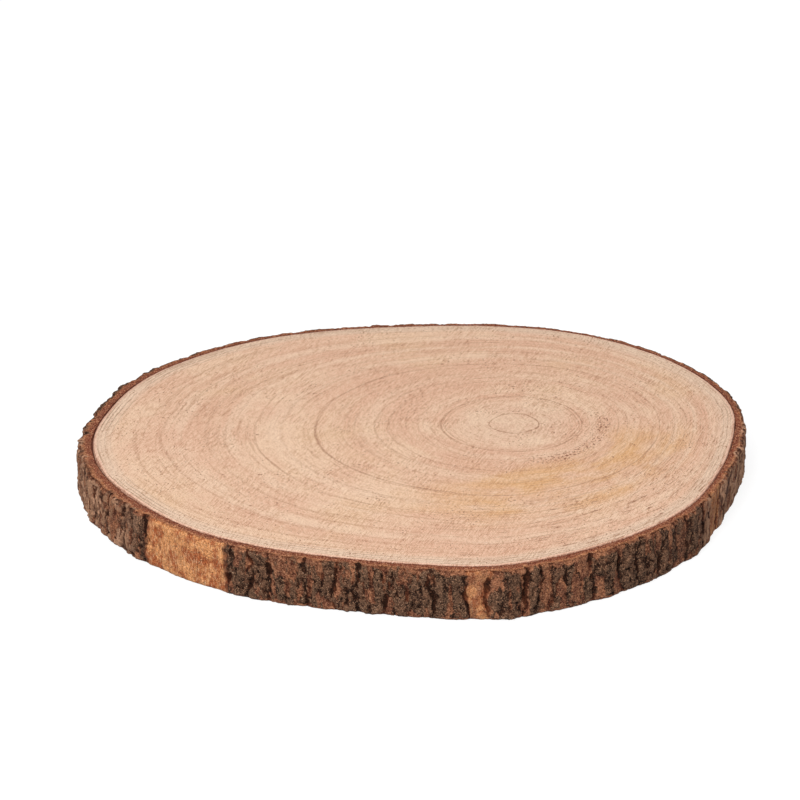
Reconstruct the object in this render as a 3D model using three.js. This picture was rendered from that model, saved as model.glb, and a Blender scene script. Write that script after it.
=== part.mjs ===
// A slice sawn square across a tree trunk, with its bark still on. It lies flat, as a cake stand or a board.
// Millimetres, +Z up. The origin is the middle of the bounding box on the underside.
// The wood and its bark grew as one piece, so the slice is one solid. Its bark is a ring of plates:
// each plate stands out to the full bark thickness, and a fissure cuts in beside it.
import * as THREE from "three";

// ---- driving dimensions ----
const THICKNESS = 25;
const PITH = new THREE.Vector2(50, 21); // the heart of the tree, well off the middle of the slice

// Distance from the middle to the cambium, where wood meets bark, every 15 degrees round the trunk.
const CAMBIUM = [
  155.1, 162.8, 164.9, 163.9, 160.3, 152.9, 147.1, 147.2, 150.1, 151.9, 154.1, 153.6,
  154.7, 152.2, 147.6, 145.2, 141.3, 138.7, 141.5, 148.4, 148.8, 149.9, 151.2, 151.1,
];
// Bark thickness over the crests of its plates, at the same angles.
const BARK = [
  6.6, 5.2, 5, 4.8, 4.4, 4.6, 5, 5, 5.3, 6, 6.8, 7,
  7.8, 8.3, 8.9, 8.8, 8.2, 7, 7.1, 9.3, 7.7, 6.8, 5.8, 5.4,
];
// On one side the bark thins towards the underside: angle and spread both ways in degrees, and the share it loses.
const UNDERCUT = { at: 349, spread: 16, size: 0.45 };

// The drying crack on both sawn faces, along the cambium.
const CRACK_DEPTH = 0.5;
const CRACK_HALF_WIDTH = 0.35;
const GAPE = { at: 193, spread: 13, size: 0.7 }; // the crack stands open here: degrees, degrees and mm

// Bark plates, anticlockwise: the angle in degrees where each one starts, and how much of the bark it keeps.
const FULL = 1;
const FLAKED = 0.82; // the corky outside has come off, down to the fibrous inner bark
const BARE = 0.62; // a scraped patch, smooth and nearly down to the wood
const PLATES = [
  [136.5, FULL], [150, FULL], [159, FULL], [169, FULL], [176, FULL],
  [187, FULL], [192.7, FULL], [197.7, FULL], [202.8, FULL], [207.9, FULL],
  [215.4, BARE],
  [235.3, FULL], [239.2, FULL], [242.7, FULL], [249.8, FULL], [255.7, FULL], [259.8, FULL], [265.3, FULL],
  [273.2, FULL],
  [279.1, FLAKED],
  [283.1, FULL], [289.3, FULL],
  [291.9, FLAKED],
  [294.3, FULL], [302.4, FULL], [308.3, FULL], [312.6, FULL], [318.1, FULL],
  [322, FLAKED],
  [325.8, FULL], [331.6, FULL],
  [335.3, FLAKED],
  [340.3, FULL], [347.2, FULL], [355, FULL], [369.6, FULL],
];
// The rest of the ring, from the last of those plates round to the first, has plates of its own.
const MORE_PLATES = { count: 22, narrowest: 0.6, flakedEvery: 8 }; // narrowest as a share of their mean width
const GOLDEN = 0.618034; // steps of this share of a turn never repeat

const FISSURE_FLOOR = 0.66; // the share of the bark left under a fissure
const SHOULDER = 1.6; // from the bottom of a fissure to the edge of the plate
const SHOULDER_DROP = 0.06; // plate edges are worn down by this share
const CREST_STEP = 5.5; // between facets on a plate
const CREST_SWELL = 0.05;
const PLATE_SPREAD = 0.1; // plates differ in thickness by this share

// Fissures wander as they run down the bark.
const MEANDER_DEG = 0.45;
const MEANDER_TURNS = 0.8; // waves in the thickness of the slice
const MEANDER_SHIFT = 0.23; // radians of phase for each degree round the trunk

// Heights of the facets on the bark, as shares of the thickness, and how far the sawn edges crumble inwards.
const BARK_LEVELS = [1, 0.955, 0.76, 0.5, 0.25, 0.045, 0];
const CRUMBLED = 0.6;

const MEAN_RADIUS = CAMBIUM.reduce((sum, r) => sum + r) / CAMBIUM.length;
const degreesOf = (arc) => THREE.MathUtils.radToDeg(arc / MEAN_RADIUS);
const share = (x) => x - Math.floor(x);

// ---- the outline ----

// A closed smooth curve (Catmull-Rom) through values at even steps round the trunk.
function aroundTheTrunk(values) {
  const n = values.length;
  return (degrees) => {
    const place = share(degrees / 360) * n;
    const i = Math.floor(place);
    const t = place - i;
    const [a, b, c, d] = [n - 1, n, n + 1, n + 2].map((k) => values[(i + k) % n]);
    return b + 0.5 * t * (c - a + t * (2 * a - 5 * b + 4 * c - d + t * (3 * (b - c) + d - a)));
  };
}

const cambiumAt = aroundTheTrunk(CAMBIUM);
const barkAt = aroundTheTrunk(BARK);

// A change of shape that fades out to both sides of one angle.
function swellingAt(degrees, { at, spread, size }) {
  const away = (degrees - at) / spread;
  return size * Math.exp(-away * away);
}

// ---- the bark plates ----

// The plates between two angles, with widths spread evenly about their mean.
function plateRun(from, to) {
  const { count, narrowest, flakedEvery } = MORE_PLATES;
  const widths = Array.from({ length: count }, (_, k) => narrowest + 2 * (1 - narrowest) * share(k * GOLDEN));
  const total = widths.reduce((sum, w) => sum + w);
  let at = from;
  return widths.map((width, k) => {
    at += ((to - from) * width) / total;
    return [at, k % flakedEvery === flakedEvery - 1 ? FLAKED : FULL];
  });
}

// Columns of the bark surface: the angle of each, and the share of the bark that it keeps.
function barkColumns() {
  const turnEnd = PLATES[0][0] + 360;
  const more = plateRun(PLATES[PLATES.length - 1][0], turnEnd).slice(0, -1);
  const plates = [...PLATES, ...more];
  const shoulder = degreesOf(SHOULDER);
  const columns = [];
  plates.forEach(([start, kept], k) => {
    const keptBefore = plates[(k + plates.length - 1) % plates.length][1];
    const end = k + 1 < plates.length ? plates[k + 1][0] : turnEnd;
    const crest = end - start - 2 * shoulder;
    const facets = Math.max(1, Math.round(crest / degreesOf(CREST_STEP)));
    const height = kept * (1 + PLATE_SPREAD * (share(k * GOLDEN) - 1));
    columns.push({ at: start, kept: Math.min(FISSURE_FLOOR, kept, keptBefore) });
    for (let i = 0; i <= facets; i++) {
      const swell = CREST_SWELL * Math.sin((Math.PI * i) / facets);
      const wear = i === 0 || i === facets ? SHOULDER_DROP : 0;
      columns.push({ at: start + shoulder + (crest * i) / facets, kept: height * (1 + swell - wear) });
    }
  });
  return columns;
}

// ---- the solid ----

const onCircle = (degrees, radius, z) => {
  const angle = THREE.MathUtils.degToRad(degrees);
  return new THREE.Vector3(radius * Math.cos(angle), radius * Math.sin(angle), z);
};

// One loop of points round the bark at a share of the slice's height.
function barkLoop(columns, height) {
  const crumbled = Math.min(height, 1 - height) === 0 ? CRUMBLED : 0;
  return columns.map(({ at, kept }) => {
    const wave = 2 * Math.PI * MEANDER_TURNS * height + MEANDER_SHIFT * at;
    const degrees = at + MEANDER_DEG * Math.sin(wave);
    const left = kept * (1 - (1 - height) * swellingAt(degrees, UNDERCUT));
    return onCircle(degrees, cambiumAt(degrees) + left * barkAt(degrees) - crumbled, height * THICKNESS);
  });
}

// The three loops of the drying crack on a sawn face, from the wood outwards.
function crackLoops(columns, z, inwards) {
  const halfWidth = (at) => CRACK_HALF_WIDTH + swellingAt(at, GAPE);
  const loop = (side, depth) =>
    columns.map(({ at }) => onCircle(at, cambiumAt(at) + side * halfWidth(at), z + inwards * depth));
  return [loop(-1, 0), loop(0, CRACK_DEPTH), loop(1, 0)];
}

// A closed skin over loops of equal length, each joined to the next, with a fan to a point at both ends.
function skin(first, loops, last) {
  const n = loops[0].length;
  const points = [first, ...loops.flat(), last];
  const index = [];
  for (let i = 0; i < n; i++) {
    const j = (i + 1) % n;
    index.push(0, 1 + i, 1 + j);
    for (let k = 0; k + 1 < loops.length; k++) {
      const [near, far] = [1 + k * n, 1 + (k + 1) * n];
      index.push(near + i, far + i, far + j, near + i, far + j, near + j);
    }
    const rim = 1 + (loops.length - 1) * n;
    index.push(rim + i, points.length - 1, rim + j);
  }
  const geometry = new THREE.BufferGeometry().setFromPoints(points);
  geometry.setIndex(index);
  return geometry;
}

function woodSlice() {
  const columns = barkColumns();
  const top = crackLoops(columns, THICKNESS, -1);
  const side = BARK_LEVELS.map((height) => barkLoop(columns, height));
  const bottom = crackLoops(columns, 0, 1).reverse();
  const heart = (z) => new THREE.Vector3(PITH.x, PITH.y, z);
  const geometry = skin(heart(THICKNESS), [...top, ...side, ...bottom], heart(0));

  // The origin goes to the middle of the bounding box, on the underside.
  geometry.computeBoundingBox();
  const middle = geometry.boundingBox.getCenter(new THREE.Vector3());
  geometry.translate(-middle.x, -middle.y, 0);
  geometry.computeVertexNormals();
  return geometry;
}

const sawnWood = new THREE.MeshStandardMaterial({ color: 0xe0ba9c, roughness: 0.75, metalness: 0 });
const slice = new THREE.Mesh(woodSlice(), sawnWood);
slice.name = "wood_slice";

const part = new THREE.Group();
part.add(slice);

export default part;
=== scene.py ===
"""A slice sawn across a tree trunk: two faces of pale end grain inside a ring of rough bark.

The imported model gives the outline, the cambium, the pith and the plates of the bark, and this script
reads them from its vertices. It adds what is too fine for that model: crust, cracks, fibre, saw marks,
growth rings and colour. Lengths are in millimetres and angles in degrees until a mesh is made.
"""
import itertools
import math

import bpy
import numpy as np
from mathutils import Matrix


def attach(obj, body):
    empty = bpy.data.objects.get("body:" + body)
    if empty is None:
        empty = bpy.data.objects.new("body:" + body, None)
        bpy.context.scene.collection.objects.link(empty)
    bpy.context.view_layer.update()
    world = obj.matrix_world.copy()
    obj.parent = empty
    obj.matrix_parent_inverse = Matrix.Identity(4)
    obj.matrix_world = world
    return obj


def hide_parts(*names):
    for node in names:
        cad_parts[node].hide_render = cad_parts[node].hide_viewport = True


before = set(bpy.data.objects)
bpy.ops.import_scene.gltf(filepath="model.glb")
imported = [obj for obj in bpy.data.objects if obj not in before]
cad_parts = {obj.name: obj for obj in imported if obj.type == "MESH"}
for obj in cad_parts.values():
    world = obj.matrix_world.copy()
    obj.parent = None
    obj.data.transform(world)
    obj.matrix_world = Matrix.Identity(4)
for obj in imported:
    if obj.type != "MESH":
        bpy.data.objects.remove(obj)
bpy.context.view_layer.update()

MM = 0.001
NODE = "wood_slice"

# ---- the bark ----
BARK_COLUMNS = 1600
BARK_ROWS = 46
RIM_ROWS = 7
RIM_SHARE = np.linspace(0, 1, RIM_ROWS, endpoint=False)  # from the rim's lip to its wall
MAP_STRIPS = 5  # the bark's texture map lays the ring out in this many strips
MEAN_RADIUS = 155.0  # bark textures are laid out on a cylinder of this radius
CRUST = 0.9  # thickness of the dark cork over the inner bark
FULL_RELIEF = 8.0  # bark thinner than this is less rugged, in proportion
PROUD = 0.6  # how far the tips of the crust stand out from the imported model's plates
BOX_MARGIN = 0.05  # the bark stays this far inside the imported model's box
FISSURE_BEND = 0.35  # a column this far below its neighbours' mean is the bottom of a fissure
RIM_LIP = 0.15  # height between the last points of a sawn rim and the first of the bark's wall
CRACK_WALL = 1.2  # depth of the drying crack between bark and wood
SEAM = 0.02  # bark and wood each stay this far from the cambium at the bottom of that crack

# Stretches of the bark, as (from, to, amount), with angles in degrees anticlockwise from +X.
SCRAPED = ((215.4, 234.4, 1.0),)  # a patch with no cork
FLAKED = (  # plates whose cork has flaked off, and how clean of it they are
    (52.9, 60.8, 0.6), (98.9, 106.6, 0.6),
    (278.8, 283.4, 1.0), (291.7, 294.3, 0.7), (321.8, 325.6, 0.6), (334.8, 340.6, 1.0),
)
WORN_AND_SIDELIT = ((176.0, 211.0, 0.9), (332.0, 375.0, 1.0))  # lighter brown cork with pale ribs: partly wear, partly painted light on the sides of the ring
CHIPPED = ((210.0, 328.0, 1.0),)  # sawn edges that have lost most of their cork

# ---- the growth rings ----
HEART_SPREAD = 120.0  # how far out a ring would reach if the tree had grown evenly
ROUNDNESS = 1.7  # inner rings are round, and outer ones take the trunk's outline
WOOD_RINGS = 84
WOOD_COLUMNS = 360
WOOD_SUNK = 0.02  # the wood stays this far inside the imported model's sawn faces
WOOD_UNEVEN = 0.03  # and the saw left it uneven by this much either way
PITH_SUNK = 0.04  # how far the pith is inside them
WOOD_EDGE = 0.25  # how far the wood's edge is rounded down into the drying crack


# ---- noise: repeatable random fields ----

def smooth(low, high, value):
    """0 below low, 1 above high, and a smooth step between them."""
    t = np.clip((value - low) / (high - low), 0, 1)
    return t * t * (3 - 2 * t)


def chance(cell, seed):
    """A repeatable random number from 0 to 1 for each point of whole numbers in an array of (..., 3)."""
    mask = 0xFFFFFFFF
    mixed = (cell @ np.array([374761393, 668265263, 1442695041]) + seed * 1274126177) & mask
    mixed = ((mixed ^ (mixed >> 13)) * 1274126177) & mask
    return ((mixed ^ (mixed >> 16)) & 0xFFFFFF) / 0xFFFFFF


def noise(points, seed):
    """Smooth noise from -1 to 1, with features about one unit across."""
    base = np.floor(points).astype(np.int64)
    t = points - base
    t = t * t * t * (t * (6 * t - 15) + 10)
    total = np.zeros(points.shape[:-1])
    for corner in itertools.product((0, 1), repeat=3):
        weight = np.prod(np.where(corner, t, 1 - t), axis=-1)
        total += weight * chance(base + np.array(corner), seed)
    return 2 * total - 1


def rough_noise(points, seed, octaves=4, gain=0.5):
    """Noise with finer and finer detail, still about -1 to 1."""
    total, size, reach = 0, 1.0, 0
    for k in range(octaves):
        total = total + size * noise(points * 2.03**k + 17.7 * k, seed + k)
        reach += size
        size *= gain
    return total / reach * 1.5


def crumpled(points, seed, octaves=3):
    """Rounded lumps with sharp creases between them: 0 in the creases and about 1 on the lumps."""
    total = sum(np.abs(noise(points * 2.1**k + 9.1 * k, seed + k)) / 1.7**k for k in range(octaves))
    return np.clip(total / 0.85, 0, 1.3)


def crack_distance(points, seed):
    """How far each point is from the nearest of the cracks between cells that are one unit across."""
    base = np.floor(points).astype(np.int64)
    nearest = np.full(points.shape[:-1], 9.0)
    second = nearest.copy()
    for offset in itertools.product((-1, 0, 1), repeat=3):
        cell = base + np.array(offset)
        spot = cell + np.stack([chance(cell, seed + k) for k in range(3)], axis=-1)
        gap = np.linalg.norm(points - spot, axis=-1)
        second = np.minimum(second, np.maximum(nearest, gap))
        nearest = np.minimum(nearest, gap)
    return second - nearest


def blurred(grid, reach):
    """A grid averaged with its neighbours, round the trunk and within its height."""
    rows = np.clip(np.arange(-reach, grid.shape[1] + reach), 0, grid.shape[1] - 1)
    wide = grid[:, rows]
    across = sum(wide[:, k : k + grid.shape[1]] for k in range(2 * reach + 1)) / (2 * reach + 1)
    return sum(np.roll(across, k, axis=0) for k in range(-reach, reach + 1)) / (2 * reach + 1)


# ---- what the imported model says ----

def packed_points():
    """The CAD node's vertices in millimetres, each one once."""
    points = np.array([v.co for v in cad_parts[NODE].data.vertices]) / MM
    return np.unique(points.round(3), axis=0)


def by_angle(points):
    """Angles and radii of a loop of points, in order round the trunk."""
    angle = np.degrees(np.arctan2(points[:, 1], points[:, 0])) % 360
    order = np.argsort(angle)
    return angle[order], np.hypot(points[:, 0], points[:, 1])[order]


POINTS = packed_points()
LEVELS = np.unique(POINTS[:, 2])
THICKNESS = LEVELS[-1]
CAMBIUM = by_angle(POINTS[POINTS[:, 2] == LEVELS[-2]])  # the bottom of the drying crack
TOP_POINTS = POINTS[POINTS[:, 2] == THICKNESS]


def cambium(angle):
    """Radius where wood meets bark."""
    return np.interp(angle, *CAMBIUM, period=360)


def find_pith():
    """The heart of the tree: the one point of the top face well inside the cambium."""
    reach = np.hypot(TOP_POINTS[:, 0], TOP_POINTS[:, 1])
    return TOP_POINTS[reach.argmin(), :2]


PITH = find_pith()


def crack_room(angle):
    """Half the width of the drying crack at the sawn faces."""
    around, radius = by_angle(TOP_POINTS)
    edge = (radius < cambium(around)) & (radius > 0.8 * cambium(around))
    return cambium(angle) - np.interp(angle, around[edge], radius[edge], period=360)


def signed_turn(angle):
    """The same angle between -180 and 180 degrees."""
    return (angle + 180) % 360 - 180


def bark_columns():
    """Heights of the CAD bark's facets, and the angles and radii of its columns at each height."""
    beyond_lip = 0.3
    heights, angles, radii = [], [], []
    for z in np.delete(LEVELS, [1, -2]):
        angle, radius = by_angle(POINTS[POINTS[:, 2] == z])
        outside = radius > cambium(angle) + crack_room(angle) + beyond_lip
        angle, radius = angle[outside], radius[outside]
        if angles:
            turn = signed_turn(angle[None] - angles[0][:, None])
            shift = min((-1, 0, 1), key=lambda k: np.abs(np.roll(turn, k, axis=1).diagonal()).sum())
            angle, radius = np.roll(angle, shift), np.roll(radius, shift)
            angle = angles[0] + signed_turn(angle - angles[0])
        heights.append(z)
        angles.append(angle)
        radii.append(radius)
    return np.array(heights), np.array(angles), np.array(radii)


def plates(angle, z):
    """Over a grid of angles and heights: the plates' outer radius, the distance and depth of the nearest
    fissure, and a number for each plate."""
    heights, angles, radii = bark_columns()
    bend = (np.roll(radii, 1, axis=1) + np.roll(radii, -1, axis=1)) / 2 - radii
    is_fissure = bend.mean(axis=0) > FISSURE_BEND
    crest, gap, depth, plate = (np.zeros_like(angle) for _ in range(4))
    for row in range(angle.shape[1]):
        height = z[row]
        at = np.array([np.interp(height, heights, column) for column in angles.T])
        radius = np.array([np.interp(height, heights, column) for column in radii.T])
        here = angle[:, row]
        crest[:, row] = np.interp(here, at[~is_fissure], radius[~is_fissure], period=360)
        mid = at[is_fissure]
        cut = np.interp(mid, at[~is_fissure], radius[~is_fissure], period=360) - radius[is_fissure]
        away = signed_turn(here[:, None] - mid[None])
        nearest = np.abs(away).argmin(axis=1)
        side = np.take_along_axis(away, nearest[:, None], axis=1)[:, 0]
        gap[:, row] = np.abs(np.radians(side)) * MEAN_RADIUS
        depth[:, row] = cut[nearest]
        plate[:, row] = (nearest + (side > 0)) % len(mid)
    return crest, gap, depth, plate


def room_in_box(angle):
    """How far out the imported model's box lets a point go at each angle."""
    half_x, half_y = np.abs(POINTS[:, :2]).max(axis=0) - BOX_MARGIN
    across = np.maximum(np.abs(np.cos(np.radians(angle))), 0.01)
    along = np.maximum(np.abs(np.sin(np.radians(angle))), 0.01)
    return np.minimum(half_x / across, half_y / along)


# ---- the bark's shape: depths are measured from the highest tips of its crust ----

def bark_places(angle, z):
    """Points on the cylinder that bark textures are laid out on."""
    turn = np.radians(angle)
    return np.stack([MEAN_RADIUS * np.cos(turn), MEAN_RADIUS * np.sin(turn), z + 0 * turn], axis=-1)


def within(angle, stretches, edge):
    """The amount given for each stretch of the bark, fading out over edge degrees at its ends."""
    inside = np.zeros_like(angle)
    for start, end, amount in stretches:
        away = np.abs(signed_turn(angle - (start + end) / 2))
        inside = np.maximum(inside, amount * smooth(-edge, edge, (end - start) / 2 - away))
    return inside


def cork_depth(places):
    """The cork: lumps parted by creases, with smaller knobs on them."""
    lumps = crumpled(places / [6, 6, 9], 41)
    knobs = crumpled(places / [2.6, 2.6, 3.4], 61, 2)
    shaken = places + 2.2 * noise(places / 3.2, 51)[..., None]
    crack = np.exp(-((crack_distance(shaken / [7, 7, 11], 53) / 0.12) ** 2))
    crease = crack * smooth(-0.1, 0.45, rough_noise(places / 9, 57, 2))
    return 1.3 * (1.1 - lumps) + 0.9 * (1.1 - knobs) + 1.1 * crease


def inner_depth(places, scraped):
    """The inner bark: shallow ripples and grains, nearly smooth where it is scraped."""
    grains = crumpled(places / [1.8, 1.8, 3.0], 71, 2)
    ripple = rough_noise(places / [4, 4, 12], 75, 3)
    return CRUST * (1 - 0.8 * scraped) + (0.5 - 0.35 * scraped) * (1.1 - grains) + 0.35 * (1 - ripple)


def open_fissures(places, z, gap, plate_chance):
    """Soft furrows that widen, narrow and fade as they wander: about 1 in the middle of an open one."""
    ragged = 0.7 * np.abs(noise(places / 1.5, 85))
    width = np.clip(0.9 + 1.4 * rough_noise(places / [5, 5, 6], 81, 3), 0.35, 2.2)
    vigour = np.clip(0.6 + 2.0 * rough_noise(places / [9, 9, 8], 83, 2), 0.0, 1.2)
    vigour = vigour * (0.6 + 0.5 * plate_chance) * (0.25 + 0.75 * smooth(0, 6, z))
    return np.exp(-(((gap + ragged) / width) ** 2)) * vigour


def flaked_off(places, angle):
    """Where a plate's cork has flaked off, apart from remnants of it."""
    flaked = within(angle, FLAKED, 0.5)
    remnants = smooth(0.1, 0.35, rough_noise(places / [3, 3, 7], 37, 4))
    return flaked * (1 - remnants * (1.15 - flaked))


def chipped_off(places, angle, from_face):
    """Where the cork has chipped off along a sawn edge."""
    foot = places * [1, 1, 0]
    reach = 1.5 * within(angle, CHIPPED, 8.0) - 0.5
    reach += 2.4 * rough_noise(foot / 5, 21, 4) + 0.9 * noise(places / 1.8, 23)
    return smooth(-0.8, 0.8, reach - from_face)


def bark_wall(angle, z):
    """The bark's outside over a grid of angles and heights: its radius, and masks for its material."""
    grid = np.repeat(angle[:, None], len(z), axis=1)
    places = bark_places(grid, z[None])
    from_face = np.minimum(z, THICKNESS - z)[None]
    wander = 1.5 * rough_noise(places / [6, 6, 9], 11, 3) + 0.8 * noise(places / 1.7, 15)
    warped = grid + np.degrees(wander / MEAN_RADIUS)
    frayed = warped + 0.6 * rough_noise(places / [5, 5, 6], 17, 3)
    crest, gap, cut, plate = plates(warped, z)
    plate_chance = chance(np.stack([plate, plate * 0, plate * 0], axis=-1).astype(np.int64), 5)

    # The cork is gone from the scraped patch, flaked plates, chipped edges, and spots here and there.
    scraped = within(frayed, SCRAPED, 1.3)
    # lighter cork on the sides of the ring: partly wear, partly painted light
    worn_and_sidelit = within(frayed, WORN_AND_SIDELIT, 6.0)
    flaked = flaked_off(places, frayed)
    chipped = chipped_off(places, frayed, from_face)
    spots = rough_noise(places / [3.4, 3.4, 10], 31, 5, 0.6)
    spots = spots - 0.4 * (plate_chance - 0.5) + 0.12 * worn_and_sidelit
    bald = np.maximum.reduce([scraped, flaked, chipped * 0.85, smooth(0.0, 0.4, spots) * 0.85])
    cork = 1 - bald

    rough_bark = 1 - 0.85 * scraped
    fissure = open_fissures(places, z, gap, plate_chance) * rough_bark
    shoulder = np.exp(-gap / 2.2) * rough_bark
    worn_edge = np.exp(-from_face / (0.6 + 0.35 * noise(places * [1, 1, 0] / 2.5, 91)))
    depth = cork * cork_depth(places) + bald * inner_depth(places, scraped)
    depth = np.maximum(depth + cut * 1.25 * fissure + 0.8 * shoulder + 0.4 * worn_edge, 0.0)

    relief = np.clip((crest - cambium(grid)) / FULL_RELIEF, 0.4, 1)
    radius = np.minimum(crest + PROUD - relief * depth, room_in_box(angle)[:, None])
    masks = {
        "cork": cork,
        # painted shading: the depth less its blur, for painted shade in the hollows and a painted
        # highlight on the ridges
        "painted_shading": 0.7 * (depth - blurred(depth, 2)) + 0.8 * (depth - blurred(depth, 7)),
        "fissure": fissure,
        "border": 4 * scraped * (1 - scraped),
        "worn_and_sidelit": worn_and_sidelit,
        "bared": np.maximum(scraped, 0.6 * flaked * flaked),
    }
    return radius, masks


def crack_half_width(angle):
    """The drying crack, hair-thin in places, and open on one side."""
    places = bark_places(angle, np.zeros_like(angle))
    return crack_room(angle) * np.clip(0.55 + 0.6 * rough_noise(places / 9, 95, 3), 0.1, 1.0)


def sawn_rim(angle, lip, outer, face_z, inwards, seed):
    """Radii and heights of the bark's sawn rim, from its lip at the crack out to its wall."""
    share = RIM_SHARE[None]
    reach = lip[:, None] + share * (outer[:, None] - lip[:, None])
    at_mean = bark_places(angle, np.zeros_like(angle))[:, None]
    places = at_mean * (reach / MEAN_RADIUS)[..., None]
    rough = 0.2 * (1 - rough_noise(places / 1.4, seed, 3)) + 0.12 * (1 - noise(places / 5, seed + 7))
    return reach, face_z + inwards * (np.maximum(rough, 0.02) + 0.3 * share**4)


# ---- meshes ----

def make_mesh(name, points, faces, masks, uvs):
    """A smooth-shaded mesh in metres, with point attributes and the map that textures are baked on."""
    mesh = bpy.data.meshes.new(name)
    mesh.from_pydata(points * MM, [], faces)
    mesh.shade_smooth()
    for mask, values in masks.items():
        mesh.attributes.new(mask, "FLOAT", "POINT").data.foreach_set("value", values.astype(np.float32))
    layer = mesh.uv_layers.new(name="OFBake")
    layer.data.foreach_set("uv", uvs.astype(np.float32).ravel())
    piece = bpy.data.objects.new(name, mesh)
    bpy.context.scene.collection.objects.link(piece)
    return piece


def on_trunk(radius, angle, height):
    """Points from radii, angles and heights."""
    turn = np.radians(angle)
    return np.stack([radius * np.cos(turn), radius * np.sin(turn), height], axis=-1)


def strip_map(column, corners, rows):
    """A texture map that lays a ring of quads out in strips, one above the other."""
    per_strip = BARK_COLUMNS // MAP_STRIPS
    strip = column // per_strip
    uvs = []
    for c, k in corners:
        u = (c - strip * per_strip) / per_strip
        v = (strip + 0.01 + 0.98 * k / rows) / MAP_STRIPS
        uvs.append(np.stack([u, v], axis=-1))
    return np.stack(uvs, axis=2).reshape(-1, 2)


def make_bark():
    """The ring of bark: two sawn rims, a rugged wall outside, and a hidden wall along the cambium."""
    angle = np.arange(BARK_COLUMNS) * 360 / BARK_COLUMNS
    z = np.linspace(THICKNESS, 0, BARK_ROWS)
    radius, wall = bark_wall(angle, z)
    lip = cambium(angle) + crack_half_width(angle)
    top_r, top_z = sawn_rim(angle, lip, radius[:, 0], THICKNESS, -1, 101)
    low_r, low_z = sawn_rim(angle, lip, radius[:, -1], 0, 0.5, 121)
    top_edge = top_z[:, -1:] - RIM_LIP
    low_edge = low_z[:, -1:] + RIM_LIP
    wall_z = low_edge + (top_edge - low_edge) * (z / THICKNESS)[None]
    heart_r = np.repeat((cambium(angle) + SEAM)[:, None], 2, axis=1)
    heart_z = np.repeat(np.array([[CRACK_WALL, THICKNESS - CRACK_WALL]]), BARK_COLUMNS, axis=0)

    # Each column of points runs out over the top rim, down the wall, in under the slice, and up inside.
    r = np.concatenate([top_r, radius, low_r[:, ::-1], heart_r], axis=1)
    height = np.concatenate([top_z, wall_z, low_z[:, ::-1], heart_z], axis=1)
    points = on_trunk(r, angle[:, None], height)

    # "across" is 0 to 1 over a rim and 2 on the wall. The other masks run on from the wall over the rims.
    flat = np.zeros_like(top_r)
    hidden = np.zeros_like(heart_r)
    out = flat + RIM_SHARE[None]
    masks = {"across": np.concatenate([out, 0 * radius + 2, out[:, ::-1], hidden], axis=1).ravel()}
    for name, values in wall.items():
        over_rims = [flat + values[:, :1], values, flat + values[:, -1:], hidden]
        masks[name] = np.concatenate(over_rims, axis=1).ravel()

    rows = r.shape[1]
    column, row = np.meshgrid(np.arange(BARK_COLUMNS), np.arange(rows), indexing="ij")
    corners = [(column, row), (column, row + 1), (column + 1, row + 1), (column + 1, row)]
    faces = np.stack([(c % BARK_COLUMNS) * rows + (k % rows) for c, k in corners], axis=-1).reshape(-1, 4)
    uvs = strip_map(column, corners, rows)
    return make_mesh("bark", points.reshape(-1, 3), faces.tolist(), masks, uvs)


def trunk_from_pith(turn):
    """Distance from the pith to the cambium, in a direction from the pith."""
    angle, radius = CAMBIUM
    edge = on_trunk(radius, angle, 0 * radius)[:, :2] - PITH
    return np.interp(np.degrees(turn), *by_angle(edge), period=360)


def ring_radius(turn, growth):
    """Distance from the pith of the ring at a share of the tree's growth, in a direction from there."""
    follow = growth**ROUNDNESS
    return growth * ((1 - follow) * HEART_SPREAD + follow * trunk_from_pith(turn))


def wood_heights(x, y, growth):
    """Heights of the two faces: a little uneven from the saw, and rounded down into the drying crack."""
    places = np.stack([x, y, 0 * x], axis=-1)
    sunk = WOOD_SUNK + WOOD_EDGE * smooth(0.995, 1.0, growth)[None]
    top_z = THICKNESS - sunk - WOOD_UNEVEN * (1 + noise(places / 18, 201))
    low_z = sunk + WOOD_UNEVEN * (1 + noise(places / 18, 211))
    return top_z, low_z


def wood_faces(rows):
    """Quads between neighbouring columns of points, and a fan of triangles to the pith on both faces."""
    column, row = np.meshgrid(np.arange(WOOD_COLUMNS), np.arange(rows - 1), indexing="ij")
    after = (column + 1) % WOOD_COLUMNS
    corners = [(column, row), (column, row + 1), (after, row + 1), (after, row)]
    quads = np.stack([c * rows + k for c, k in corners], axis=-1).reshape(-1, 4).tolist()
    top, low = WOOD_COLUMNS * rows, WOOD_COLUMNS * rows + 1
    each = range(WOOD_COLUMNS)
    fans = [[top, c * rows, (c + 1) % WOOD_COLUMNS * rows] for c in each]
    fans += [[low, ((c + 1) % WOOD_COLUMNS + 1) * rows - 1, (c + 1) * rows - 1] for c in each]
    return quads + fans


def disc_map(points, is_top):
    """A texture map with the top face as a big disc, and the underside as a smaller one beside it."""
    flat = points[:, :2] / (2 * MEAN_RADIUS)
    big_middle, big = 0.34, 0.66
    small_middle, small = 0.76, 0.46
    return np.where(is_top[:, None], big_middle + flat * big, small_middle + flat * small)


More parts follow.
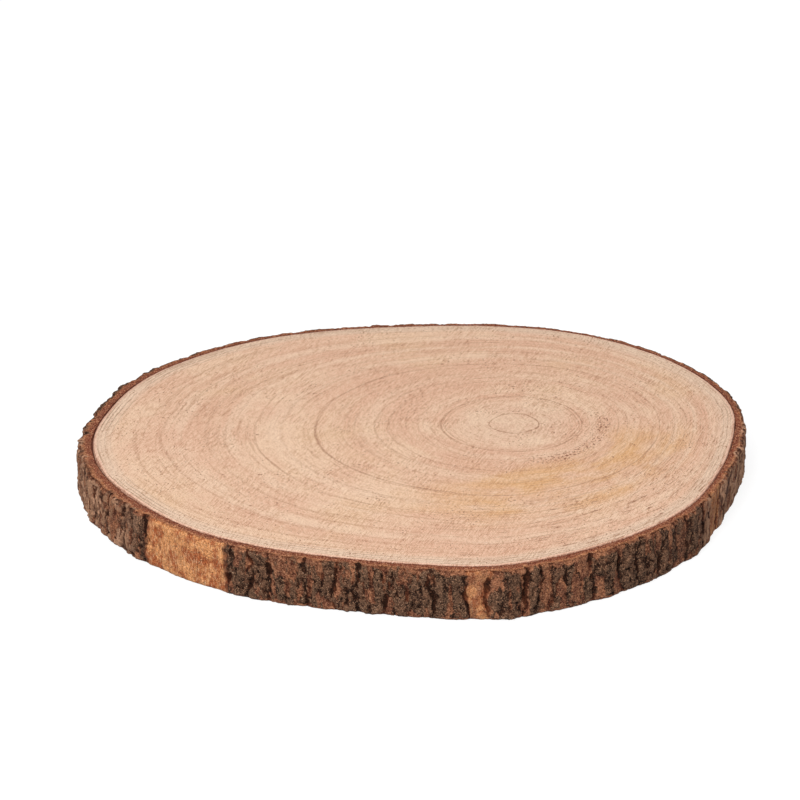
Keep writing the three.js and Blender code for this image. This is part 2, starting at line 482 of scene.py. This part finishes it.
def make_wood():
    """The wood: points that follow the growth rings on both faces, and a wall in the drying crack."""
    turn = np.arange(WOOD_COLUMNS) * 2 * math.pi / WOOD_COLUMNS
    # The rings of points lie closer together at the rounded edge.
    growth = np.concatenate([np.linspace(0, 0.99, WOOD_RINGS)[1:], [0.994, 0.997, 0.999, 1.0]])
    reach = ring_radius(turn[:, None], growth[None])
    x = PITH[0] + reach * np.cos(turn)[:, None]
    y = PITH[1] + reach * np.sin(turn)[:, None]
    angle = np.degrees(np.arctan2(y, x)) % 360
    # The outermost rings are pressed in to make room for the drying crack.
    radius = np.hypot(x, y) - crack_half_width(angle[:, -1])[:, None] * smooth(0.9, 1.0, growth)[None]
    top_z, low_z = wood_heights(x, y, growth)
    wall_r = np.repeat(cambium(angle[:, -1:]) - SEAM, 2, axis=1)
    wall_z = np.repeat(np.array([[THICKNESS - CRACK_WALL, CRACK_WALL]]), WOOD_COLUMNS, axis=0)

    # Each column of points runs from the pith out over the top face, down the wall, and back underneath.
    r = np.concatenate([radius, wall_r, radius[:, ::-1]], axis=1)
    around = np.concatenate([angle, np.repeat(angle[:, -1:], 2, axis=1), angle[:, ::-1]], axis=1)
    height = np.concatenate([top_z, wall_z, low_z[:, ::-1]], axis=1)
    poles = [[*PITH, THICKNESS - PITH_SUNK], [*PITH, PITH_SUNK]]
    points = np.concatenate([on_trunk(r, around, height).reshape(-1, 3), poles])
    rows = r.shape[1]

    # The ring that a point is on, how far it is from the bark, and its direction from the pith.
    from_bark = reach[:, -1:] - reach
    at_wall = np.zeros_like(wall_r)
    edge = np.concatenate([from_bark, at_wall, from_bark[:, ::-1]], axis=1)
    grown = np.concatenate([growth, [1.0, 1.0], growth[::-1]])
    masks = {
        "growth": np.append(np.tile(grown, WOOD_COLUMNS), [0, 0]),
        "edge": np.append(edge.ravel(), [HEART_SPREAD, HEART_SPREAD]),
        "ring_x": np.append(np.repeat(np.cos(turn), rows), [0, 0]),
        "ring_y": np.append(np.repeat(np.sin(turn), rows), [0, 0]),
    }
    faces = wood_faces(rows)
    on_top = np.tile(np.arange(rows) <= len(growth), WOOD_COLUMNS)
    on_map = disc_map(points, np.append(on_top, [True, False]))
    uvs = on_map[np.concatenate([np.array(f) for f in faces])]
    return make_mesh("sawn_wood", points, faces, masks, uvs)


# ---- materials ----

class Nodes:
    """A material whose nodes are made by short calls, with numbers, colours or sockets as their values."""

    def __init__(self, name):
        self.material = bpy.data.materials.new(name)
        self.material.use_nodes = True
        self.tree = self.material.node_tree
        self.tree.nodes.clear()
        self.shader = self.tree.nodes.new("ShaderNodeBsdfPrincipled")
        output = self.tree.nodes.new("ShaderNodeOutputMaterial")
        self.tree.links.new(self.shader.outputs[0], output.inputs["Surface"])

    def put(self, socket, value):
        if isinstance(value, bpy.types.NodeSocket):
            self.tree.links.new(value, socket)
        else:
            socket.default_value = value

    def surface(self, **inputs):
        """Values for the shader, with _ for each space in an input's name."""
        for name, value in inputs.items():
            self.put(self.shader.inputs[name.replace("_", " ")], value)

    def node(self, kind, inputs, **settings):
        made = self.tree.nodes.new("ShaderNode" + kind)
        for name, value in settings.items():
            setattr(made, name, value)
        for key, value in inputs.items():
            self.put(made.inputs[key], value)
        return made

    def math(self, operation, a, b=0.0):
        return self.node("Math", {0: a, 1: b}, operation=operation).outputs[0]

    def plus(self, a, b):
        return self.math("ADD", a, b)

    def times(self, a, b):
        return self.math("MULTIPLY", a, b)

    def apart(self, a, b):
        """How far two values are from each other."""
        return self.math("ABSOLUTE", self.math("SUBTRACT", a, b))

    def swing(self, noise, amount):
        """A noise as a push to both sides."""
        return self.times(self.math("SUBTRACT", noise, 0.5), amount)

    def attribute(self, name):
        return self.node("Attribute", {}, attribute_name=name).outputs["Fac"]

    def vector(self, x, y, z):
        return self.node("CombineXYZ", {0: x, 1: y, 2: z}).outputs[0]

    def place(self, size, turn=0.0):
        """Object coordinates along axes turned about Z, in units of a feature's size in millimetres."""
        where = self.node("TexCoord", {}).outputs["Object"]
        inputs = {"Vector": where, "Rotation": (0, 0, math.radians(turn)), "Scale": [s * MM for s in size]}
        return self.node("Mapping", inputs, vector_type="TEXTURE").outputs[0]

    def noise(self, where, detail=3.0, roughness=0.5):
        inputs = {"Vector": where, "Scale": 1.0, "Detail": detail, "Roughness": roughness}
        return self.node("TexNoise", inputs).outputs["Fac"]

    def step(self, value, low, high, to_low=0.0, to_high=1.0):
        """A value taken smoothly from one range to another."""
        inputs = {"Value": value, "From Min": low, "From Max": high, "To Min": to_low, "To Max": to_high}
        return self.node("MapRange", inputs, interpolation_type="SMOOTHSTEP").outputs[0]

    def mix(self, amount, a, b, blend="MIX"):
        made = self.node("Mix", {0: amount}, data_type="RGBA", blend_type=blend)
        self.put(made.inputs[6], a)
        self.put(made.inputs[7], b)
        return made.outputs[2]

    def tint(self, base, value, low, high, amount, paint):
        """Paint over a base: none where a value is at low, and the full amount where it is at high."""
        return self.mix(self.step(value, low, high, 0.0, amount), base, paint)

    def multiplied(self, base, filter_colour):
        """A base seen through a colour filter."""
        return self.mix(1.0, base, filter_colour, "MULTIPLY")

    def bump(self, height, distance, strength=1.0, normal=None):
        inputs = {"Height": height, "Distance": distance * MM, "Strength": strength}
        if normal:
            inputs["Normal"] = normal
        return self.node("Bump", inputs).outputs[0]


def colour(red, green, blue):
    """A colour given as 0 to 255 screen values, in linear light."""
    def linear(value):
        value /= 255
        return value / 12.92 if value <= 0.04045 else ((value + 0.055) / 1.055) ** 2.4
    return (linear(red), linear(green), linear(blue), 1.0)


class BarkNodes(Nodes):
    """The bark's material, with the masks of its mesh and the textures that its layers share."""

    def __init__(self):
        super().__init__("bark")
        self.across = self.attribute("across")
        self.cork = self.attribute("cork")
        self.painted_shading = self.attribute("painted_shading")
        self.worn_and_sidelit = self.attribute("worn_and_sidelit")
        self.broad = self.noise(self.place((11, 11, 14)), detail=3)
        self.middling = self.noise(self.place((3.2, 3.2, 4.5)), detail=4, roughness=0.6)
        self.grit = self.noise(self.place((0.95, 0.95, 1.0)), detail=2, roughness=0.7)
        self.dust = self.noise(self.place((0.5, 0.5, 0.5)), detail=1, roughness=0.6)

    def gritty(self, base, dark, dark_amount, light, light_amount):
        """Darker and lighter grains over a colour, on the noises that also make the bark's bumps: partly
        the grains' own tone, partly painted shade in their hollows and a painted highlight on their tops.
        """
        base = self.tint(base, self.grit, 0.46, 0.34, dark_amount, dark)
        base = self.tint(base, self.grit, 0.56, 0.68, light_amount, light)
        base = self.tint(base, self.dust, 0.44, 0.34, dark_amount, dark)
        return self.tint(base, self.dust, 0.55, 0.64, light_amount, light)


def crust_colour(m):
    """The cork: grey-brown to red-brown, with pale grains standing out of a near-black skin, and paler
    ribs on the sides of the ring that are partly wear and partly painted light.
    """
    crust = m.mix(m.step(m.middling, 0.42, 0.6), colour(62, 40, 30), colour(98, 64, 47))
    crust = m.tint(crust, m.broad, 0.42, 0.62, 0.7, colour(70, 51, 40))
    crust = m.gritty(crust, colour(24, 14, 9), 0.6, colour(186, 140, 108), 0.7)
    ribs = m.noise(m.place((4.5, 4.5, 13)), detail=3, roughness=0.6)
    # paler ribs on the sides of the ring: partly wear, partly painted light on ridges lit from the side
    sidelit_worn_ribs = m.mix(m.step(ribs, 0.45, 0.55), colour(100, 64, 49), colour(228, 174, 140))
    crust = m.mix(m.times(m.worn_and_sidelit, 0.85), crust, sidelit_worn_ribs)
    lichen = m.times(m.step(m.dust, 0.66, 0.72), m.step(m.middling, 0.54, 0.62))
    return m.mix(lichen, crust, colour(205, 178, 150))


def scraped_colour(m):
    """The smooth tan layer next to the wood, with fine strands in it."""
    clouds = m.noise(m.place((6, 6, 8)), detail=4, roughness=0.6)
    strands = m.noise(m.place((0.7, 0.7, 2.6)), detail=3, roughness=0.7)
    tan = m.mix(m.step(clouds, 0.42, 0.58), colour(190, 104, 60), colour(252, 175, 114))
    tan = m.tint(tan, m.middling, 0.46, 0.34, 0.5, colour(168, 90, 54))
    tan = m.tint(tan, strands, 0.5, 0.36, 0.5, colour(142, 78, 48))
    tan = m.tint(tan, strands, 0.5, 0.64, 0.6, colour(255, 204, 156))
    return m.tint(tan, m.dust, 0.46, 0.36, 0.5, colour(120, 64, 40))


def inner_colour(m):
    """Red-brown inner bark, with the tan layer in the scraped patch and a dark edge round that, partly
    red-brown bark and partly painted shade from the cork's edge.
    """
    inner = m.mix(m.step(m.middling, 0.38, 0.62), colour(112, 64, 47), colour(172, 112, 80))
    inner = m.gritty(inner, colour(54, 26, 17), 0.6, colour(214, 154, 116), 0.55)
    inner = m.mix(m.step(m.attribute("bared"), 0.2, 0.9), inner, scraped_colour(m))
    # dark edge round the scraped patch: partly red-brown bark, partly painted shade cast by the cork's
    # edge
    return m.tint(inner, m.attribute("border"), 0.1, 0.8, 0.75, colour(104, 54, 36))


def wall_colour(m, crust):
    """The outside of the bark: crust where there is cork, with painted shade in the hollows, in the
    fissures and along the crust's edge, and a painted highlight on the ridges.
    """
    bitten = m.plus(m.cork, m.swing(m.grit, -1.1))
    wall = m.mix(m.step(bitten, 0.25, 0.75), inner_colour(m), crust)
    # painted shadow: a dark line along the edge of the crust
    wall = m.tint(wall, m.apart(bitten, 0.5), 0.2, 0.02, 0.4, colour(50, 28, 20))
    # painted shade in the hollows
    wall = m.tint(wall, m.painted_shading, 0.0, 0.6, 0.85, m.multiplied(wall, colour(120, 84, 66)))
    # painted shade in the fissures
    wall = m.tint(wall, m.attribute("fissure"), 0.3, 1.0, 0.6, colour(58, 32, 20))
    # painted highlight on the ridges, stronger on the sides of the ring
    ridges = m.times(m.step(m.painted_shading, -0.15, -0.6), m.step(m.worn_and_sidelit, 0.0, 1.0, 0.2, 0.8))
    return m.mix(ridges, wall, colour(178, 132, 102))


def rim_colour(m, crust):
    """The sawn rim: dark against the wood, red-brown, then orange-brown and ragged at the outside."""
    ragged = m.plus(m.across, m.swing(m.middling, 0.9))
    layers = m.noise(m.vector(m.times(m.across, 11.0), m.noise(m.place((9, 9, 9))), 0.0), detail=3)
    rim = m.mix(m.step(ragged, 0.45, 0.7), colour(154, 82, 58), colour(206, 134, 90))
    rim = m.tint(rim, layers, 0.52, 0.42, 0.7, colour(124, 62, 44))
    rim = m.tint(rim, m.broad, 0.48, 0.62, 0.6, colour(138, 76, 56))
    rim = m.gritty(rim, colour(80, 38, 26), 0.7, colour(232, 168, 128), 0.7)
    rim = m.mix(m.times(m.step(ragged, 0.55, 0.8), m.cork), rim, crust)
    return m.tint(rim, m.across, 0.08, 0.0, 0.7, colour(98, 46, 34))


def bark_material():
    """Gritty grey-brown cork over red-brown inner bark, and a fibrous red-brown sawn rim."""
    m = BarkNodes()
    crust = crust_colour(m)
    m.surface(
        Base_Color=m.mix(m.step(m.across, 1.0, 1.4), rim_colour(m, crust), wall_colour(m, crust)),
        Roughness=m.step(m.grit, 0.3, 0.7, 0.95, 0.75),
        Specular_IOR_Level=0.12,
        Normal=m.bump(m.dust, 0.5, normal=m.bump(m.grit, 1.6)),
    )
    return m.material


# Growth-ring lines: how far out each one is as a share of the growth, its half-width, and how dark it is.
RINGS = (
    (0.099, 0.0045, 0.9), (0.262, 0.004, 0.4), (0.276, 0.006, 0.6), (0.31, 0.003, 0.25),
    (0.352, 0.004, 0.25), (0.44, 0.004, 0.35), (0.476, 0.004, 0.3), (0.53, 0.005, 0.2),
    (0.618, 0.0045, 0.6), (0.69, 0.005, 0.2), (0.745, 0.0035, 0.35), (0.83, 0.004, 0.2),
    (0.9, 0.003, 0.3),
)
# Pale rings between them, given the same way.
PALE_RINGS = (
    (0.2, 0.05, 0.3), (0.33, 0.03, 0.4), (0.5, 0.04, 0.35),
    (0.7, 0.03, 0.55), (0.79, 0.02, 0.6), (0.88, 0.03, 0.6),
)
# Lines in the sapwood: how far each one is from the bark, its half-width, and how dark it is.
SAP_LINES = ((1.9, 0.4, 0.8), (3.6, 0.4, 0.7), (5.6, 0.45, 0.6), (8.2, 0.45, 0.4))


class WoodNodes(Nodes):
    """The wood's material, with the growth of its mesh and the textures that its layers share."""

    def __init__(self):
        super().__init__("sawn_wood")
        self.growth = self.attribute("growth")
        self.edge = self.attribute("edge")
        self.east = self.attribute("ring_x")
        self.north = self.attribute("ring_y")
        self.bands = self.noise(self.along_rings(9, 0.8), detail=3, roughness=0.6)
        self.saw = self.noise(self.place((6, 0.6, 9), turn=69), detail=2, roughness=0.6)
        self.grain = self.noise(self.place((0.5, 1.1, 0.5)), detail=1, roughness=0.7)

    def along_rings(self, across, along):
        """Coordinates that follow the rings: features are narrow across them and long along them."""
        scaled = ((self.growth, across), (self.east, along), (self.north, along))
        return self.vector(*(self.times(value, scale) for value, scale in scaled))

    def facing(self, degrees, low, high, least=0.0):
        """1 on the side of the pith that lies at an angle, and the least value on the other."""
        turn = math.radians(degrees)
        toward = self.plus(self.times(self.east, math.cos(turn)), self.times(self.north, math.sin(turn)))
        return self.step(toward, low, high, least)

    def lines(self, position, table):
        """Thin soft lines at the places in a table of (place, half-width, strength)."""
        total = 0.0
        for at, half_width, strength in table:
            line = self.step(self.apart(position, at), half_width, half_width * 0.2, 0.0, strength)
            total = self.math("MAXIMUM", total, line)
        return total

    def shaded(self, base, value, low, high, amount, filter_colour):
        """A base darkened by a colour filter: not at all where a value is at low, and most at high."""
        return self.tint(base, value, low, high, amount, self.multiplied(base, filter_colour))


def heartwood_colour(m):
    """Pale pinkish wood in soft bands, lighter at the heart, and stained yellow on one side."""
    broad = m.noise(m.place((45, 45, 45)), detail=3)
    base = m.mix(m.step(m.bands, 0.38, 0.62), colour(226, 182, 153), colour(236, 200, 170))
    base = m.tint(base, broad, 0.44, 0.62, 0.6, colour(226, 180, 152))
    base = m.tint(base, broad, 0.46, 0.3, 0.6, colour(230, 192, 156))
    stained = m.times(m.facing(-60, 0.35, 0.9), m.step(m.growth, 0.34, 0.5))
    stained = m.times(stained, m.step(m.growth, 0.86, 0.7))
    stained = m.times(stained, m.step(m.noise(m.along_rings(7, 2.0), detail=3), 0.38, 0.6, 0.15, 1.0))
    base = m.mix(stained, base, colour(224, 174, 124))
    return m.tint(base, m.plus(m.growth, m.swing(broad, 0.4)), 0.34, 0.1, 0.45, colour(234, 204, 178))


def with_sapwood(m, base):
    """Creamy sapwood next to the bark, and painted shade along its edge at the drying crack."""
    sap = m.step(m.plus(m.edge, m.swing(m.bands, 12.0)), 12.0, 5.0)
    base = m.mix(m.times(sap, 0.85), base, colour(232, 203, 178))
    base = m.tint(base, m.edge, 2.0, 0.8, 0.55, colour(228, 176, 152))
    # painted shade along the wood's edge at the drying crack
    return m.tint(base, m.edge, 0.5, 0.15, 0.8, colour(150, 92, 70))


def with_rings(m, base):
    """Growth rings that waver and break off here and there."""
    swept = m.plus(m.growth, m.swing(m.noise(m.along_rings(5, 1.6), detail=3), 0.03))
    broken = m.step(m.noise(m.along_rings(30, 4), detail=3), 0.36, 0.58, 0.2, 1.0)
    base = m.mix(m.times(m.lines(swept, PALE_RINGS), broken), base, colour(240, 208, 180))
    dark = m.times(m.lines(swept, RINGS), m.step(broken, 0.2, 1.0, 0.5, 1.0))
    base = m.mix(dark, base, colour(166, 112, 80))
    sway = m.swing(m.noise(m.along_rings(8, 14), detail=3), 2.6)
    sap_lines = m.times(m.lines(m.plus(m.edge, sway), SAP_LINES), m.facing(195, -0.5, 0.6, 0.5))
    base = m.mix(m.times(sap_lines, broken), base, colour(146, 108, 84))

    streaks = m.noise(m.along_rings(130, 3), detail=3, roughness=0.6)
    base = m.shaded(base, streaks, 0.5, 0.34, 0.45, colour(214, 196, 184))
    front_right = m.times(m.facing(-45, 0.3, 0.9), m.step(m.growth, 0.55, 0.8))
    dashes = m.step(m.noise(m.along_rings(150, 10), detail=2, roughness=0.6), 0.42, 0.33, 0.0, 0.85)
    return m.mix(m.times(front_right, dashes), base, colour(156, 106, 76))


def with_saw_marks(m, base):
    """Straight marks of the saw, strong in some places, and fainter ones that cross them."""
    sawn_here = m.noise(m.place((18, 18, 18)), detail=2)
    marks = m.times(m.step(m.saw, 0.5, 0.34), m.step(sawn_here, 0.36, 0.6, 0.2, 1.0))
    base = m.mix(m.times(marks, 0.6), base, m.multiplied(base, colour(208, 184, 166)))
    base = m.tint(base, m.saw, 0.52, 0.66, 0.3, colour(250, 224, 196))
    cross_saw = m.noise(m.place((4, 0.6, 9), turn=-67), detail=2, roughness=0.6)
    return m.shaded(base, cross_saw, 0.48, 0.34, 0.4, colour(212, 192, 176))


def with_grain(m, base):
    """Fine grain and small pits, with more pits where fibres are torn at the front right of the pith."""
    base = m.shaded(base, m.grain, 0.5, 0.34, 0.4, colour(206, 184, 170))
    base = m.tint(base, m.grain, 0.52, 0.66, 0.25, colour(252, 224, 198))
    torn = m.times(m.step(m.apart(m.growth, 0.37), 0.06, 0.01), m.facing(-30, 0.3, 0.9))
    pitted = m.noise(m.place((16, 16, 16)), detail=2)
    pitted = m.math("MAXIMUM", m.step(pitted, 0.42, 0.6, 0.2, 1.0), torn)
    pits = m.noise(m.place((1.1, 1.5, 1.3)), detail=1)
    pit = m.times(m.step(m.math("SUBTRACT", pits, m.times(torn, 0.1)), 0.34, 0.28), pitted)
    return m.mix(m.times(pit, 0.9), base, colour(134, 82, 56))


def wood_material():
    """Pale pinkish end grain with faint growth rings, creamy sapwood, saw marks and small pits."""
    m = WoodNodes()
    base = heartwood_colour(m)
    for layer in (with_sapwood, with_rings, with_saw_marks, with_grain):
        base = layer(m, base)
    m.surface(
        Base_Color=base,
        Roughness=m.step(m.grain, 0.3, 0.7, 0.85, 0.7),
        Specular_IOR_Level=0.3,
        Normal=m.bump(m.grain, 0.05, 0.5, m.bump(m.saw, 0.06, 0.5)),
    )
    return m.material


# ---- the stage, the light and the camera, in metres ----

ROOM = 12.0  # from the middle of the stage to its walls
FLOOR_DROP = 0.0001  # the floor is this far below the slice
WHITE = (1, 1, 1, 1)
FLOOR_GLOW = 0.87
LIGHT_ALL_ROUND = 0.37
LAMP_WIDTH = 0.9
LAMPS = (  # name, place, and power in watts
    ("side", (2.0, -1.2, 0.8), 6.0),
    ("overhead", (-0.3, -0.3, 1.8), 9.0),
    ("front", (-0.7, -2.2, 1.5), 54.5),
)
LOOKING_DOWN = 23  # degrees
CAMERA_DISTANCE = 2.5
CAMERA_AIM = (-0.0062, 0.1084)  # where on the table the camera looks
LENS = 222.1  # mm


def plain_mesh(name, points, faces):
    """A mesh that belongs to the stage."""
    mesh = bpy.data.meshes.new(name)
    mesh.from_pydata(points, [], faces)
    made = bpy.data.objects.new(name, mesh)
    bpy.context.scene.collection.objects.link(made)
    return made


def make_stage():
    """A white floor that glows, to keep its shadows faint, and white walls that only the camera sees."""
    corners = [(-ROOM, -ROOM), (ROOM, -ROOM), (ROOM, ROOM), (-ROOM, ROOM)]
    floor = plain_mesh("floor", [(x, y, -FLOOR_DROP) for x, y in corners], [(0, 1, 2, 3)])
    white = Nodes("floor_white")
    white.surface(Base_Color=(0.2, 0.2, 0.2, 1), Roughness=0.9)
    white.surface(Emission_Color=WHITE, Emission_Strength=FLOOR_GLOW)
    floor.data.materials.append(white.material)
    floor.visible_diffuse = False

    points = [(x, y, z) for z in (-ROOM, ROOM) for x, y in corners]
    sides_and_top = [(0, 1, 5, 4), (1, 2, 6, 5), (2, 3, 7, 6), (3, 0, 4, 7), (4, 5, 6, 7)]
    walls = plain_mesh("walls", points, sides_and_top)
    for ray in ("diffuse", "glossy", "transmission", "volume_scatter", "shadow"):
        setattr(walls, "visible_" + ray, False)
    glow = Nodes("wall_white")
    glow.surface(Base_Color=(0, 0, 0, 1), Emission_Color=WHITE, Emission_Strength=1.0)
    walls.data.materials.append(glow.material)


def make_light():
    """Soft light from all round, a lamp overhead, a strong one in front, and a weak one at the right."""
    world = bpy.data.worlds.new("studio")
    world.use_nodes = True
    background = world.node_tree.nodes["Background"]
    background.inputs["Color"].default_value = WHITE
    background.inputs["Strength"].default_value = LIGHT_ALL_ROUND
    bpy.context.scene.world = world
    for name, place, power in LAMPS:
        light = bpy.data.lights.new(name, "AREA")
        light.size = LAMP_WIDTH
        light.energy = power
        lamp = bpy.data.objects.new(name, light)
        lamp.location = place
        aim = -lamp.location
        lamp.rotation_euler = aim.to_track_quat("-Z", "Y").to_euler()
        bpy.context.scene.collection.objects.link(lamp)


def make_camera():
    """A long lens from the front, looking down."""
    elevation = math.radians(LOOKING_DOWN)
    lens = bpy.data.cameras.new("camera")
    lens.lens = LENS
    lens.clip_end = 50
    camera = bpy.data.objects.new("camera", lens)
    x, y = CAMERA_AIM
    back, up = CAMERA_DISTANCE * math.cos(elevation), CAMERA_DISTANCE * math.sin(elevation)
    camera.location = (x, y - back, up)
    camera.rotation_euler = (math.pi / 2 - elevation, 0, 0)
    bpy.context.scene.collection.objects.link(camera)
    bpy.context.scene.camera = camera


bark = make_bark()
bark.data.materials.append(bark_material())
wood = make_wood()
wood.data.materials.append(wood_material())
for piece, slot in ((bark, "bark"), (wood, "sawn_wood")):
    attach(piece, "root")
    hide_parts(NODE)

make_stage()
make_light()
make_camera()
bpy.context.scene.view_settings.view_transform = "Standard"
